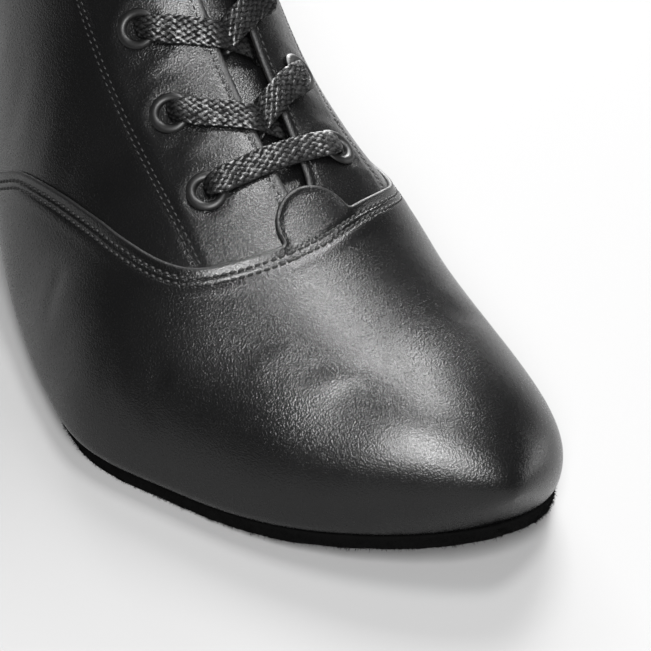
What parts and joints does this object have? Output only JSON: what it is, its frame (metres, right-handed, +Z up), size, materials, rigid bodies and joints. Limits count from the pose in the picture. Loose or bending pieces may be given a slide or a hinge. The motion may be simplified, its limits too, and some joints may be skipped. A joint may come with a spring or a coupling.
{
  "type": "dance ankle boot",
  "caption": "Laced ankle boot for dancing, right foot, with a smooth vamp, eyelet facings, thin flexible sole and low block heel.",
  "frame": {"origin": "middle of the boot's bounding box, on the floor that the sole and the heel stand on", "axes": "+X towards the toe, +Y towards the wearer's left, which is the inner side of this right shoe, +Z up"},
  "size_m": [0.2842, 0.1086, 0.1825],
  "materials": {
    "leather": "soft black nappa leather, satin, fine grain",
    "lining": "matt dark lining leather",
    "suede_sole": "black chrome suede, matt and fuzzy at its edge",
    "heel_cover": "black, semi matt",
    "heel_rubber": "black, matt",
    "eyelet": "black enamel, satin",
    "lace": "flat braided cotton, waxed, black"
  },
  "bodies": {
    "root": {"outsole": "suede_sole", "heel_block": "heel_cover", "heel_top_piece": "heel_rubber", "insole": "lining", "upper": "leather", "tongue": "leather", "laces": "lace", "eyelet_lateral_1": "eyelet", "eyelet_medial_1": "eyelet", "eyelet_lateral_2": "eyelet", "eyelet_medial_2": "eyelet", "eyelet_lateral_3": "eyelet", "eyelet_medial_3": "eyelet", "eyelet_lateral_4": "eyelet", "eyelet_medial_4": "eyelet", "eyelet_lateral_5": "eyelet", "eyelet_medial_5": "eyelet", "eyelet_lateral_6": "eyelet", "eyelet_medial_6": "eyelet", "eyelet_lateral_7": "eyelet", "eyelet_medial_7": "eyelet"}
  },
  "joints": []
}
